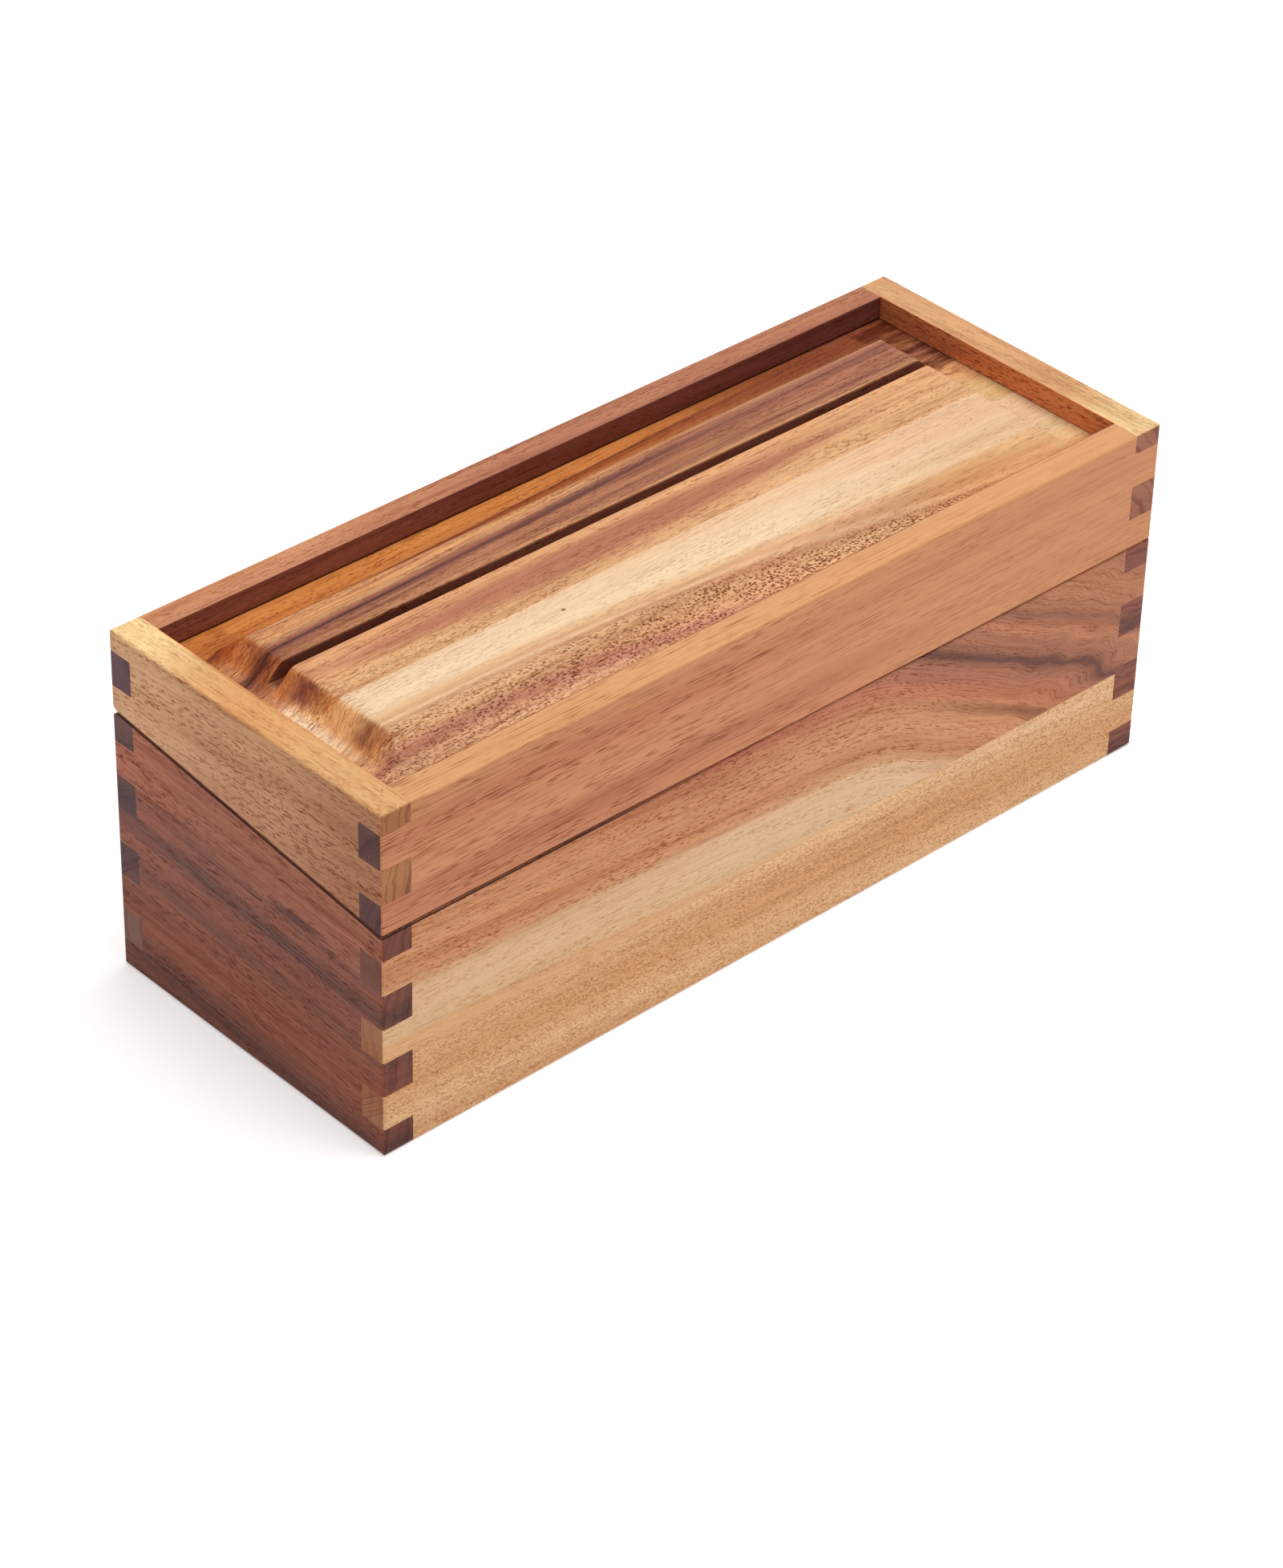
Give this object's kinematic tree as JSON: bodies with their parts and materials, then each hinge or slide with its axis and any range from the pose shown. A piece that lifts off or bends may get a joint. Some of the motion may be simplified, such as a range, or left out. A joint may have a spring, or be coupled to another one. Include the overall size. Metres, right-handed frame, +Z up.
{
  "type": "recipe box",
  "caption": "Long wooden recipe box with finger-jointed corners, a hinged lid cut on a slant, and a raised lid panel with a slot that stands a card up for reading.",
  "frame": {"origin": "middle of the footprint, on the surface the box stands on", "axes": "+X along the front towards the right end, +Y to the back where the hinges are, +Z up"},
  "size_m": [0.33, 0.127, 0.127],
  "materials": {
    "acacia_base_front": "satin, cream to golden-brown acacia",
    "acacia_base_back": "satin, golden-brown acacia",
    "acacia_base_ends": "satin, red-brown acacia",
    "acacia_bottom": "satin, plain tan acacia",
    "acacia_lid_front": "satin, orange-brown straight-grained acacia",
    "acacia_lid_back": "satin, pink-brown acacia",
    "acacia_lid_ends": "satin, golden-tan acacia",
    "acacia_panel": "satin, striped acacia with pale sapwood",
    "hinge_brass": "drawn brass",
    "screw_brass": "turned brass"
  },
  "bodies": {
    "base": {"base_front": "acacia_base_front", "base_back": "acacia_base_back", "base_left_end": "acacia_base_ends", "base_right_end": "acacia_base_ends", "base_bottom": "acacia_bottom", "left_hinge_base_leaf": "hinge_brass", "right_hinge_base_leaf": "hinge_brass", "left_hinge_pin": "screw_brass", "right_hinge_pin": "screw_brass", "base_hinge_screws": "screw_brass"},
    "lid": {"lid_front": "acacia_lid_front", "lid_back": "acacia_lid_back", "lid_left_end": "acacia_lid_ends", "lid_right_end": "acacia_lid_ends", "lid_panel": "acacia_panel", "left_hinge_lid_leaf": "hinge_brass", "right_hinge_lid_leaf": "hinge_brass", "lid_hinge_screws": "screw_brass"}
  },
  "joints": [
    {"name": "lid_hinge", "type": "hinge", "parent": "base", "child": "lid", "pos_m": [0, 0.0617, 0.09779], "axis": [-1, 0, 0], "range_deg": [0, 100]}
  ]
}
